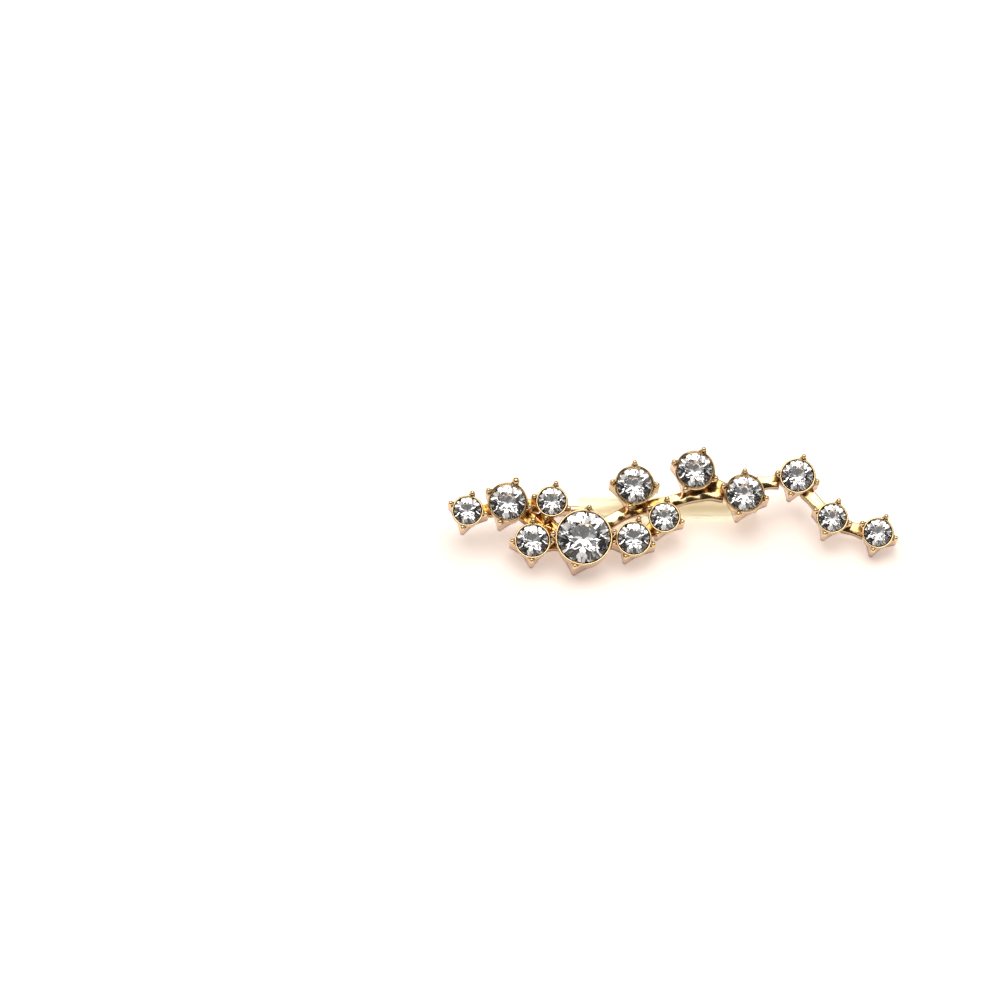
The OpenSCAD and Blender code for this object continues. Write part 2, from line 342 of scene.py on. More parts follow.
def closed_shell(grid, poles=None):
    """A closed surface from a grid of points whose columns run round it.

    With poles, a pair of points, each end row is closed by a fan of triangles
    to its pole. Without, the rows wrap round too, which makes a ring.
    Columns run right-handed about the direction of the rows, so faces point out.
    """
    rows, columns = grid.shape[:2]
    index = np.arange(rows * columns).reshape(rows, columns)
    here, there = (index[:-1], index[1:]) if poles is not None else (index, np.roll(index, -1, 0))
    quads = np.stack([here, np.roll(here, -1, 1), np.roll(there, -1, 1), there], -1).reshape(-1, 4)
    points = grid.reshape(-1, 3)
    if poles is None:
        return Shell(points, quads, np.zeros((0, 3), int))
    start, end = rows * columns, rows * columns + 1
    low, high = index[0], index[-1]
    fan_low = np.stack([np.full(columns, start), np.roll(low, -1), low], -1)
    fan_high = np.stack([np.full(columns, end), high, np.roll(high, -1)], -1)
    return Shell(np.vstack([points, *poles]), quads, np.vstack([fan_low, fan_high]))


def rounded(corners, radii, steps=5):
    """A line of points through flat corners, each rounded by an arc of its radius.

    The arc of a corner starts and ends at radius * tan(half the turn) from it.
    """
    line = [np.array(corners[0], float)]
    for before, corner, after, radius in zip(corners, corners[1:], corners[2:], radii[1:-1]):
        corner = np.array(corner, float)
        back = np.array(before) - corner
        ahead = np.array(after) - corner
        back /= np.linalg.norm(back)
        ahead /= np.linalg.norm(ahead)
        half = math.acos(np.clip(back @ ahead, -1, 1)) / 2
        reach = radius / math.tan(half)
        middle = corner + (back + ahead) / np.linalg.norm(back + ahead) * radius / math.sin(half)
        start, end = corner + back * reach - middle, corner + ahead * reach - middle
        part = np.linspace(0, 1, steps)[:, None]
        sweep = math.pi - 2 * half
        arc = (np.sin((1 - part) * sweep) * start + np.sin(part * sweep) * end) / math.sin(sweep)
        line.extend(middle + arc)
    line.append(np.array(corners[-1], float))
    return np.array(line)


def revolved(profile, sides, closed=False):
    """A profile of (radius, height) turned once about the Z axis: (r cos a, r sin a, z).

    The profile starts and ends on the axis, or is a closed loop.
    """
    turn = np.arange(sides) * 2 * math.pi / sides
    body = profile if closed else profile[1:-1]
    radius, height = body[:, :1], body[:, 1:]
    grid = np.stack([radius * np.cos(turn), radius * np.sin(turn), height + 0 * turn], -1)
    if closed:
        return closed_shell(grid)
    poles = [[0, 0, profile[0][1]], [0, 0, profile[-1][1]]]
    return closed_shell(grid, np.array(poles))


def swept(path, side, outline, widths):
    """An outline carried along a path that lies in one plane.

    side is that plane's normal. A point of the outline (a, b) goes to
    path + a u (side x tangent) + b v side, with (u, v) the widths there.
    """
    tangent = np.gradient(path, axis=0)
    tangent /= np.linalg.norm(tangent, axis=1)[:, None]
    across = np.cross(side, tangent)
    a = outline[None, :, :1] * widths[:, None, :1]
    b = outline[None, :, 1:] * widths[:, None, 1:]
    grid = path[:, None] + a * across[:, None] + b * side
    return closed_shell(grid, np.array([grid[0].mean(0), grid[-1].mean(0)]))


def smooth_path(points, steps):
    """A Catmull-Rom curve through the points, with that many steps for each span."""
    points = np.array(points)
    ends = [2 * points[0] - points[1], *points, 2 * points[-1] - points[-2]]
    t = np.linspace(0, 1, steps, endpoint=False)[:, None]
    spans = [
        0.5 * (2 * b + (c - a) * t + (2 * a - 5 * b + 4 * c - d) * t**2 + (3 * b - a - 3 * c + d) * t**3)
        for a, b, c, d in zip(ends, ends[1:], ends[2:], ends[3:])
    ]
    return np.vstack([*spans, points[-1:]])


def moved(shell, offset, turn=None):
    """The same surface, turned by a 3x3 matrix and then shifted."""
    points = shell.points if turn is None else shell.points @ np.array(turn).T
    return Shell(points + offset, shell.quads, shell.triangles)


def rippled(shell, depth, wave):
    """The same surface, wandering as the skin of a small casting does.

    With x, y and z in turns of the wave, the shift is depth times
    (sin(y + 1.3 z), sin(1.2 z + 0.8 x + 1), sin(0.9 x + 1.1 y + 2)).
    """
    x, y, z = (shell.points / wave * 2 * math.pi).T
    shift = [np.sin(y + 1.3 * z), np.sin(1.2 * z + 0.8 * x + 1), np.sin(0.9 * x + 1.1 * y + 2)]
    return Shell(shell.points + depth * np.stack(shift, -1), shell.quads, shell.triangles)


def add_piece(name, shells, plan, material, slot, *nodes):
    """Joins surfaces into one smooth piece that rides on the body and stands for the CAD nodes."""
    start = np.cumsum([0] + [len(s.points) for s in shells])
    points = plan.rest(np.vstack([s.points for s in shells]))
    quads = np.vstack([s.quads + k for s, k in zip(shells, start)])
    triangles = np.vstack([s.triangles + k for s, k in zip(shells, start)])
    mesh = bpy.data.meshes.new(name)
    mesh.vertices.add(len(points))
    mesh.vertices.foreach_set("co", points.astype(np.float32).ravel())
    mesh.loops.add(quads.size + triangles.size)
    mesh.loops.foreach_set("vertex_index", np.concatenate([quads.ravel(), triangles.ravel()]))
    mesh.polygons.add(len(quads) + len(triangles))
    first = np.concatenate([np.arange(len(quads)) * 4, quads.size + np.arange(len(triangles)) * 3])
    mesh.polygons.foreach_set("loop_start", first)
    mesh.polygons.foreach_set("use_smooth", np.ones(len(first), bool))
    mesh.update(calc_edges=True)
    mesh.validate()
    mesh.materials.append(material)
    piece = bpy.data.objects.new(name, mesh)
    bpy.context.scene.collection.objects.link(piece)
    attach(piece, BODY)
    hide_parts(*nodes)


def node(tree, kind, settings=None, **inputs):
    """Adds a shader node, sets its properties, and fills or links its inputs by name."""
    made = tree.nodes.new(kind)
    for key, value in (settings or {}).items():
        setattr(made, key, value)
    for key, value in inputs.items():
        socket = made.inputs[int(key[1:]) if key[0] == "i" and key[1:].isdigit() else key.replace("_", " ")]
        if isinstance(value, bpy.types.NodeSocket):
            tree.links.new(value, socket)
        else:
            socket.default_value = value
    return made


def new_material(name):
    """An empty node material and its tree."""
    material = bpy.data.materials.new(name)
    material.use_nodes = True
    material.node_tree.nodes.clear()
    return material, material.node_tree


def per_wave(millimetres):
    """Texture scale that gives a pattern of that size on coordinates in metres."""
    return 1 / (millimetres * MM)


def opaque(tone, part=1.0):
    """The four values of a colour socket: that part of the tone, with nothing see-through."""
    return (*(part * c for c in tone), 1.0)


SMOOTH = {"interpolation_type": "SMOOTHSTEP"}
COLOUR = {"data_type": "RGBA"}
DOT = {"operation": "DOT_PRODUCT"}


# Heights over the flat of the cups' backs where the painted shade at the foot of the walls starts and is
# darkest
FOOT_LINE, FOOT_DARK = 1.3 * MM, 0.15 * MM


def gold_plating(name, finish, shade_tone, reach, span):
    """Pale gold plating on a polished white-metal casting.

    Bright and warm, with a faint orange-peel skin left by the mould and fine
    polishing marks. The sides that face along the flat of the cups are duller:
    rougher, and darker by painted shade, with a brown band of painted shade at
    their foot. The colour turns to the painted shade tone where other metal
    within reach (mm) shuts out the light: span is the open share over which it
    does.
    """
    material, tree = new_material(name)
    plan = Plan(bpy.context.scene)
    out = plan.rest_normal()
    places = node(tree, "ShaderNodeTexCoord").outputs
    where = places["Object"]
    facing = node(tree, "ShaderNodeVectorMath", DOT, i0=places["Normal"], i1=out).outputs["Value"]
    raised = node(
        tree, "ShaderNodeVectorMath", {"operation": "SUBTRACT"}, i0=where, i1=plan.rest(np.zeros(3))
    ).outputs["Vector"]
    height = node(tree, "ShaderNodeVectorMath", DOT, i0=raised, i1=out).outputs["Value"]
    # Faces turned out of the cups get the plating; the rest get the side tone, a painted shade
    front = node(
        tree, "ShaderNodeMapRange", SMOOTH, Value=facing, From_Min=0.1, From_Max=0.6
    ).outputs["Result"]
    # These two masks mark the foot of the walls, which turns to the foot colour, a painted shade
    off_back = node(
        tree, "ShaderNodeMapRange", SMOOTH, Value=facing, From_Min=-0.6, From_Max=-0.1
    ).outputs["Result"]
    low = node(
        tree, "ShaderNodeMapRange", SMOOTH, Value=height, From_Min=FOOT_LINE, From_Max=FOOT_DARK
    ).outputs["Result"]
    foot = node(tree, "ShaderNodeMath", {"operation": "MULTIPLY"}, i0=low, i1=off_back).outputs["Value"]
    # Ambient occlusion: where nearby metal shuts out the light, the colour turns to the painted shade tone
    open_share = node(
        tree, "ShaderNodeAmbientOcclusion", {"samples": 6}, Distance=reach * MM
    ).outputs["AO"]
    open_part = node(
        tree, "ShaderNodeMapRange", SMOOTH, Value=open_share, From_Min=span[0], From_Max=span[1]
    ).outputs["Result"]
    plating = node(
        tree, "ShaderNodeMix", COLOUR, i0=front, i6=opaque(finish.side), i7=opaque(finish.gold)
    ).outputs[2]
    shaded = node(tree, "ShaderNodeMix", COLOUR, i0=foot, i6=plating, i7=opaque(finish.foot)).outputs[2]
    shaded_plating = node(tree, "ShaderNodeMix", COLOUR, i0=open_part, i6=opaque(shade_tone), i7=shaded).outputs[2]
    skin = node(tree, "ShaderNodeTexNoise", Vector=where, Scale=per_wave(0.35), Detail=3.0, Roughness=0.55)
    marks = node(tree, "ShaderNodeTexNoise", Vector=where, Scale=per_wave(0.06), Detail=2.0)
    cloud = node(tree, "ShaderNodeTexNoise", Vector=where, Scale=per_wave(2.5), Detail=2.0)
    worked = node(
        tree, "ShaderNodeMapRange", SMOOTH, Value=cloud.outputs["Fac"],
        From_Min=0.3, From_Max=0.7, To_Min=0.06, To_Max=0.16,
    ).outputs["Result"]
    dull = node(tree, "ShaderNodeMath", {"operation": "MULTIPLY_ADD"}, i0=front, i1=-0.1, i2=0.1)
    rough = node(
        tree, "ShaderNodeMath", {"operation": "ADD"}, i0=worked, i1=dull.outputs["Value"]
    ).outputs["Value"]
    peel = node(
        tree, "ShaderNodeBump", Strength=0.35, Distance=0.02 * MM, Height=skin.outputs["Fac"]
    ).outputs["Normal"]
    fine = node(
        tree, "ShaderNodeBump", Strength=0.2, Distance=0.004 * MM, Height=marks.outputs["Fac"], Normal=peel
    ).outputs["Normal"]
    shader = node(
        tree, "ShaderNodeBsdfPrincipled", Base_Color=shaded_plating, Metallic=1.0, Roughness=rough, Normal=fine
    )
    node(tree, "ShaderNodeOutputMaterial", Surface=shader.outputs["BSDF"])
    return material


def plated_casting(finish):
    """Gold plating of the cups and prongs: dark amber painted shade only deep in the corners."""
    return gold_plating("plated_casting", finish, finish.recess, 0.6, (0.2, 0.7))


def plated_links(finish):
    """Gold plating of the links: painted shade turns it amber where the cups crowd round them."""
    return gold_plating("plated_links", finish, finish.amber, 1.5, (0.32, 0.8))


def drawn_wire(finish):
    """Pale gold plating on drawn wire.

    Bright, with the faint lines that the die leaves along the straight run,
    and a little dull where it is handled.
    """
    material, tree = new_material("drawn_wire")
    where = node(tree, "ShaderNodeTexCoord").outputs["Object"]
    along = node(tree, "ShaderNodeMapping", Vector=where, Scale=(0.08, 1.0, 1.0)).outputs["Vector"]
    lines = node(tree, "ShaderNodeTexNoise", Vector=along, Scale=per_wave(0.12), Detail=2.0)
    cloud = node(tree, "ShaderNodeTexNoise", Vector=where, Scale=per_wave(1.8), Detail=3.0)
    bright = node(
        tree, "ShaderNodeMapRange", Value=cloud.outputs["Fac"], From_Min=0.3, From_Max=0.6
    ).outputs["Result"]
    tone = node(
        tree, "ShaderNodeMix", COLOUR, i0=bright, i6=opaque(finish.gold, 0.9), i7=opaque(finish.gold)
    ).outputs[2]
    rough = node(
        tree, "ShaderNodeMapRange", Value=cloud.outputs["Fac"],
        From_Min=0.3, From_Max=0.7, To_Min=0.2, To_Max=0.1,
    ).outputs["Result"]
    groove = node(tree, "ShaderNodeBump", Strength=0.3, Distance=0.01 * MM, Height=lines.outputs["Fac"])
    shader = node(
        tree, "ShaderNodeBsdfPrincipled", Base_Color=tone, Metallic=1.0, Roughness=rough,
        Normal=groove.outputs["Normal"],
    )
    node(tree, "ShaderNodeOutputMaterial", Surface=shader.outputs["BSDF"])
    return material


def cut_glass(finish):
    """Clear machine-cut glass: colourless, with a hard polish and the faintest smears on its faces."""
    material, tree = new_material("cut_glass")
    where = node(tree, "ShaderNodeTexCoord").outputs["Object"]
    smear = node(tree, "ShaderNodeTexNoise", Vector=where, Scale=per_wave(0.9), Detail=3.0)
    rough = node(
        tree, "ShaderNodeMapRange", Value=smear.outputs["Fac"],
        From_Min=0.45, From_Max=0.8, To_Min=0.0, To_Max=0.02,
    ).outputs["Result"]
    shader = node(
        tree, "ShaderNodeBsdfPrincipled", Base_Color=opaque(finish.glass),
        Transmission_Weight=1.0, IOR=1.56, Roughness=rough,
    )
    node(tree, "ShaderNodeOutputMaterial", Surface=shader.outputs["BSDF"])
    return material


def silver_foil(finish):
    """Silver mirror foil on the back of the glass: bright, a little grey, with faint stains."""
    material, tree = new_material("silver_foil")
    where = node(tree, "ShaderNodeTexCoord").outputs["Object"]
    stain = node(tree, "ShaderNodeTexNoise", Vector=where, Scale=per_wave(0.5), Detail=4.0)
    clean = node(
        tree, "ShaderNodeMapRange", Value=stain.outputs["Fac"], From_Min=0.25, From_Max=0.45
    ).outputs["Result"]
    tone = node(
        tree, "ShaderNodeMix", COLOUR, i0=clean, i6=opaque(finish.foil, 0.82), i7=opaque(finish.foil)
    ).outputs[2]
    shader = node(tree, "ShaderNodeBsdfPrincipled", Base_Color=tone, Metallic=1.0, Roughness=0.03)
    node(tree, "ShaderNodeOutputMaterial", Surface=shader.outputs["BSDF"])
    return material


def clear_silicone(finish):
    """Extruded silicone tube: milky clear, slightly yellowed, with a soft gloss and a dusty skin.

    It lets lamp light through to the wire and the board. Its faint glow stands
    for the light of the board that the milky wall passes on.
    """
    material, tree = new_material("clear_silicone")
    where = node(tree, "ShaderNodeTexCoord").outputs["Object"]
    dust = node(tree, "ShaderNodeTexNoise", Vector=where, Scale=per_wave(0.6), Detail=4.0)
    rough = node(
        tree, "ShaderNodeMapRange", Value=dust.outputs["Fac"],
        From_Min=0.35, From_Max=0.7, To_Min=0.06, To_Max=0.16,
    ).outputs["Result"]
    dusty = node(
        tree, "ShaderNodeMapRange", Value=dust.outputs["Fac"], From_Min=0.3, From_Max=0.8
    ).outputs["Result"]
    tone = node(
        tree, "ShaderNodeMix", COLOUR, i0=dusty, i6=opaque(finish.silicone), i7=opaque(finish.silicone, 0.96)
    ).outputs[2]
    skin = node(tree, "ShaderNodeBump", Strength=0.25, Distance=0.02 * MM, Height=dust.outputs["Fac"])
    clear = node(
        tree, "ShaderNodeBsdfPrincipled", Base_Color=tone, Transmission_Weight=1.0,
        IOR=1.41, Roughness=rough, Normal=skin.outputs["Normal"],
    )
    milk = node(
        tree, "ShaderNodeBsdfPrincipled", Base_Color=tone, IOR=1.41, Roughness=0.35,
        Subsurface_Weight=1.0, Subsurface_Radius=(1.0, 0.9, 0.7), Subsurface_Scale=0.5 * MM,
        Emission_Color=tone, Emission_Strength=0.3,
    )
    wall = node(
        tree, "ShaderNodeMixShader", Fac=0.4, i1=clear.outputs["BSDF"], i2=milk.outputs["BSDF"]
    )
    passing = node(tree, "ShaderNodeBsdfTransparent", Color=opaque(finish.silicone))
    shown = node(
        tree, "ShaderNodeMixShader", Fac=node(tree, "ShaderNodeLightPath").outputs["Is Shadow Ray"],
        i1=wall.outputs["Shader"], i2=passing.outputs["BSDF"],
    )
    node(tree, "ShaderNodeOutputMaterial", Surface=shown.outputs["Shader"])
    return material


def matt_board(finish):
    """White diffuser board lit a little from below: plain, a breath warm, with a fine paper tooth.

    Its glow keeps the shadows on it pale.
    """
    material, tree = new_material("matt_board")
    where = node(tree, "ShaderNodeTexCoord").outputs["Object"]
    tooth = node(tree, "ShaderNodeTexNoise", Vector=where, Scale=per_wave(0.4), Detail=2.0)
    bump = node(tree, "ShaderNodeBump", Strength=0.1, Distance=0.02 * MM, Height=tooth.outputs["Fac"])
    shader = node(
        tree, "ShaderNodeBsdfPrincipled", Base_Color=opaque(finish.floor), Roughness=0.75,
        Normal=bump.outputs["Normal"], Emission_Color=opaque(finish.floor), Emission_Strength=0.42,
    )
    node(tree, "ShaderNodeOutputMaterial", Surface=shader.outputs["BSDF"])
    return material


def finish_material(maker, scene):
    """The material of that maker, made once."""
    return bpy.data.materials.get(maker.__name__) or maker(scene.climber_finish)


# Facets round the table, and the radii of the cut's middle rings as shares of the stone's radius
FACETS = 8
CROWN_MID = 0.78
PAVILION_MID = 0.24


def ring(count, radius, height, turn=0.0):
    """Points evenly round a circle: (r cos a, r sin a, z)."""
    a = math.radians(turn) + np.arange(count) * 2 * math.pi / count
    return np.stack([radius * np.cos(a), radius * np.sin(a), np.full(count, height)], -1)


def brilliant(plan, i):
    """Corner points and facets of a brilliant cut, with its girdle's lower edge at height 0.

    Kite facets stay flat because the middle rings lie on the planes through
    table corner and girdle, and through girdle and point.
    """
    stone = plan.stone
    d = plan.stone_d(i)
    r, n = d / 2, FACETS
    half = 180 / n
    slope = math.cos(math.radians(half))
    girdle_h, crown_h, pavilion_h = stone.girdle * d, stone.crown * d, stone.pavilion * d
    table_r, crown_mid_r, pavilion_mid_r = stone.table * r, CROWN_MID * r, PAVILION_MID * r
    crown_mid_z = crown_h * (r - crown_mid_r * slope) / (r - table_r)
    pavilion_mid_z = -pavilion_h * (1 - pavilion_mid_r * slope / r)
    points = np.vstack([
        ring(n, table_r, girdle_h + crown_h),
        ring(n, crown_mid_r, girdle_h + crown_mid_z, half),
        ring(2 * n, r, girdle_h),
        ring(2 * n, r, 0.0),
        ring(n, pavilion_mid_r, pavilion_mid_z, half),
        [[0.0, 0.0, -pavilion_h]],
    ])
    table, crown, upper, lower, under, point = 0, n, 2 * n, 4 * n, 6 * n, 7 * n
    k = range(n)
    crown_faces = [[table + j for j in k]]
    crown_faces += [[table + j, crown + j, table + (j + 1) % n] for j in k]
    crown_faces += [[table + j, crown + (j - 1) % n, upper + 2 * j, crown + j] for j in k]
    crown_faces += [[crown + j, upper + 2 * j, upper + 2 * j + 1] for j in k]
    crown_faces += [[crown + j, upper + 2 * j + 1, upper + (2 * j + 2) % (2 * n)] for j in k]
    girdle = [
        [lower + j, lower + (j + 1) % (2 * n), upper + (j + 1) % (2 * n), upper + j] for j in range(2 * n)
    ]
    back = [[lower + 2 * j + 1, lower + 2 * j, under + j] for j in k]
    back += [[lower + (2 * j + 2) % (2 * n), lower + 2 * j + 1, under + j] for j in k]
    back += [[lower + 2 * j, under + (j - 1) % n, point, under + j] for j in k]
    return points, crown_faces, girdle + back


class CLIMBER_OT_stones(bpy.types.Operator):
    """Cuts the thirteen glass stones, with foil on their backs"""

    bl_idname = "climber.stones"
    bl_label = "Stones"

    def execute(self, context):
        plan = Plan(context.scene)
        glass = finish_material(cut_glass, context.scene)
        foil = finish_material(silver_foil, context.scene)
        for i, cup in enumerate(CUPS):
            points, front, back = brilliant(plan, i)
            turn = np.array(Matrix.Rotation(math.radians(cup.facet_turn), 3, "Z"))
            points = points @ turn.T + plan.place(i) + [0, 0, plan.girdle_z(i)]
            name = f"cut_stone_{i + 1:02d}"
            mesh = bpy.data.meshes.new(name)
            mesh.from_pydata(plan.rest(points).tolist(), [], front + back)
            mesh.materials.append(glass)
            mesh.materials.append(foil)
            mesh.polygons.foreach_set("material_index", [0] * len(front) + [1] * len(back))
            mesh.update()
            stone = bpy.data.objects.new(name, mesh)
            context.scene.collection.objects.link(stone)
            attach(stone, BODY)
            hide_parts(f"stone_{i + 1:02d}")
        return {"FINISHED"}


class CLIMBER_OT_cups(bpy.types.Operator):
    """Casts the thirteen cups that hold the stones"""

    bl_idname = "climber.cups"
    bl_label = "Cups"

    SIDES = 96
    # Radius of the ledge under the stone as a share of the stone's radius
    LEDGE = 0.8
    LIP = 0.12 * MM
    # Roundings, the rim's as a share of its thickness
    BASE_ROUND = 0.1 * MM
    RIM_ROUND = 0.46
    SEAT_ROUND = 0.02 * MM
    LEDGE_ROUND = 0.05 * MM
    WELL_ROUND = 0.1 * MM

    def execute(self, context):
        plan = Plan(context.scene)
        shells = [moved(self.cup(plan, i), plan.place(i)) for i in range(len(CUPS))]
        gold = finish_material(plated_casting, context.scene)
        add_piece("cups", shells, plan, gold, "gold_metal", "frame")
        return {"FINISHED"}

    def cup(self, plan, i):
        """Tapered round cup: a rounded profile from the back, over the rim, down to the floor of the well.

        The rims of the wide stones lean in over the stone by LIP at the top.
        """
        metal = plan.metal
        r = plan.stone_d(i) / 2
        rim = plan.rim_z(i)
        seat_r = r + metal.stone_gap
        ledge = plan.girdle_z(i) - plan.stone.pavilion * 2 * r * (1 - self.LEDGE) - metal.stone_gap
        lip_r = seat_r - (self.LIP if CUPS[i].kind == WIDE else 0)
        corners = [
            (0, 0), (plan.base_r(i), 0), (plan.wall_r(i), rim), (lip_r, rim),
            (seat_r, ledge), (self.LEDGE * r, ledge), (self.LEDGE * r, metal.cup_back), (0, metal.cup_back),
        ]
        soft = self.RIM_ROUND * (plan.wall_r(i) - lip_r)
        radii = [0, self.BASE_ROUND, soft, soft, self.SEAT_ROUND, self.LEDGE_ROUND, self.WELL_ROUND, 0]
        return revolved(rounded(corners, radii), self.SIDES)


class CLIMBER_OT_prongs(bpy.types.Operator):
    """Casts the ball-tipped prongs round each cup"""

    bl_idname = "climber.prongs"
    bl_label = "Prongs"

    # Rows up the post and over the ball, and points round the post and along a side
    ROWS = 14
    BALL_ROWS = 12
    ARC = 11
    SIDE = 7
    HOLLOW = 1.1
    # Drop of the shoulder under the rim as a share of the ball's radius
    SHOULDER = 0.7
    # How much of its own width the lowest row keeps over the next, which softens the foot
    FOOT_KEEP = 0.4
    # Radius of the post's top as a share of the post's, and how far it and the neck stand over the shoulder
    TOP = 0.92
    TOP_RISE = 0.07 * MM
    NECK_RISE = 0.11 * MM
    # Angle from the ball's pole to its last row
    CAP = 0.12

    def execute(self, context):
        plan = Plan(context.scene)
        metal = plan.metal
        shells = []
        for i, cup in enumerate(CUPS):
            for turn in cup.prongs:
                spin = np.array(Matrix.Rotation(math.radians(turn), 3, "Z"))
                ball_r = metal.knob_r if (i, turn) == KNOB else metal.ball_r
                shells.append(moved(self.prong(plan, i, ball_r), plan.place(i), spin))
        gold = finish_material(plated_casting, context.scene)
        add_piece("prongs", shells, plan, gold, "gold_metal", "frame")
        return {"FINISHED"}

    def prong(self, plan, i, ball_r):
        """Spur, post, neck and ball as one skin of rows stacked along Z.

        A row of the post is an arc of radius p outside, then two sides that
        run in to the cup: the half width grows from that of the arc's end to w
        as t ** HOLLOW, where t goes from 0 at the arc to 1 inside the wall. w
        shrinks evenly with height. The rows of the neck and ball are circles.
        """
        metal = plan.metal
        post, rim, ball = plan.post_at(i), plan.rim_z(i), plan.ball_z(i)
        inner_r = plan.base_r(i) - metal.spur_sink
        reach = math.acos((inner_r - metal.post_r) / post)
        shoulder = rim - self.SHOULDER * metal.ball_r
        up = np.linspace(0, 1, self.ROWS)[:, None]
        width = 1 + (metal.spur_top - 1) * up
        arc = np.linspace(-reach, reach, self.ARC)
        t = np.linspace(0, 1, self.SIDE)[1:]
        end_x, end_y = math.cos(reach) * metal.post_r, math.sin(reach) * metal.post_r
        inner_x = width * (inner_r * math.cos(reach) - post)
        inner_y = width * inner_r * math.sin(reach)
        side_x = end_x + (inner_x - end_x) * t
        side_y = end_y + (inner_y - end_y) * t**self.HOLLOW
        one = np.ones_like(up)
        x = np.hstack([one * metal.post_r * np.cos(arc), side_x, side_x[:, ::-1]])
        y = np.hstack([one * metal.post_r * np.sin(arc), side_y, -side_y[:, ::-1]])
        post_rows = np.stack([post + x, y, up * shoulder + 0 * x], -1)
        foot, above = post_rows[0, :, :2], post_rows[1, :, :2]
        post_rows[0, :, :2] = above + (foot - above) * self.FOOT_KEEP
        turn = np.concatenate([arc, np.linspace(reach, 2 * math.pi - reach, 2 * len(t) + 2)[1:-1]])
        low = math.asin(metal.neck_r / ball_r)
        fall = np.linspace(math.pi - low, self.CAP, self.BALL_ROWS)[:, None]
        radius = np.vstack([[[self.TOP * metal.post_r], [metal.neck_r]], ball_r * np.sin(fall)])
        neck = [[shoulder + self.TOP_RISE], [shoulder + self.NECK_RISE]]
        height = np.vstack([neck, ball + ball_r * np.cos(fall)])
        top_rows = np.stack([post + radius * np.cos(turn), radius * np.sin(turn), height + 0 * turn], -1)
        poles = np.array([[post + inner_x[0, 0] / 2, 0, 0], [post, 0, ball + ball_r]])
        return closed_shell(np.vstack([post_rows, top_rows]), poles)


class CLIMBER_OT_links(bpy.types.Operator):
    """Casts the flat links and the knot that join the cups"""

    bl_idname = "climber.links"
    bl_label = "Links"

    STEPS = 12
    # Where a link ends inside its cup, as a share of the wall's radius
    INSIDE = 0.78
    WAIST = 0.12
    # Height of a link's edges as a share of its top's, and the roundings of foot, edge and top
    EDGE = 0.97
    FOOT_ROUND, EDGE_ROUND, TOP_ROUND = 0.06 * MM, 0.14 * MM, 0.6 * MM
    # Height of the knot as a share of the links', and the roundings of its foot and edge
    KNOT_TOP = 1.04
    KNOT_FOOT_ROUND, KNOT_EDGE_ROUND = 0.08 * MM, 0.35 * MM
    KNOT_STEPS, KNOT_SIDES = 12, 96
    # Depth and length of the waves in the links, and in the lumpy ones at the knot
    RIPPLE = 0.015 * MM
    WAVE = 1.6 * MM
    LUMP = 0.09 * MM
    LUMP_WAVE = 1.25 * MM

    def execute(self, context):
        plan = Plan(context.scene)
        knot = sum(plan.place(i) for i in KNOT) / len(KNOT)
        shells = [self.link(plan, self.between(plan, a, b)) for a, b in PAIRS]
        shells += [self.link(plan, [plan.on_wall(spot) for spot in run]) for run in (SPINE, ARCH)]
        lumpy = [self.link(plan, self.to_point(plan, i, knot)) for i in KNOT]
        lumpy.append(moved(self.knot(plan), knot))
        shells = [rippled(shell, self.RIPPLE, self.WAVE) for shell in shells]
        shells += [rippled(shell, self.LUMP, self.LUMP_WAVE) for shell in lumpy]
        gold = finish_material(plated_links, context.scene)
        add_piece("links", shells, plan, gold, "gold_metal", "frame")
        return {"FINISHED"}

    def between(self, plan, a, b):
        """End points of a straight link, just inside the walls of its cups."""
        start, end = plan.place(a), plan.place(b)
        way = (end - start) / np.linalg.norm(end - start)
        return [start + self.INSIDE * plan.wall_r(a) * way, end - self.INSIDE * plan.wall_r(b) * way]

    def to_point(self, plan, i, point):
        """End points of a link from inside a cup's wall to a point."""
        start = plan.place(i)
        way = (point - start) / np.linalg.norm(point - start)
        return [start + self.INSIDE * plan.wall_r(i) * way, point]

    def link(self, plan, points):
        """Rounded flat bar along a smooth line, a little narrower midway between its points.

        Its width is times 1 + WAIST / 2 - WAIST sin(pi s) ** 2, s being 0 to 1 between points.
        """
        metal = plan.metal
        path = smooth_path(points, self.STEPS)
        half, top = metal.link_w / 2, metal.link_h
        edge = self.EDGE * top
        corners = [(0, 0), (half, 0), (half, edge), (0, top), (-half, edge), (-half, 0), (0, 0)]
        side = [self.FOOT_ROUND, self.EDGE_ROUND]
        outline = rounded(corners, [0, *side, self.TOP_ROUND, *side[::-1], 0])[:-1]
        along = np.linspace(0, len(points) - 1, len(path))
        waist = 1 + self.WAIST / 2 - self.WAIST * np.sin(math.pi * (along % 1)) ** 2
        return swept(path, np.array([0, 0, 1.0]), outline, np.stack([waist, np.ones(len(path))], -1))

    def knot(self, plan):
        """Low round boss where the links of four cups run together."""
        metal = plan.metal
        top = self.KNOT_TOP * metal.link_h
        corners = [(0, 0), (metal.knot_r, 0), (metal.knot_r, metal.link_h), (0, top)]
        radii = [0, self.KNOT_FOOT_ROUND, self.KNOT_EDGE_ROUND, 0]
        return revolved(rounded(corners, radii, self.KNOT_STEPS), self.KNOT_SIDES)


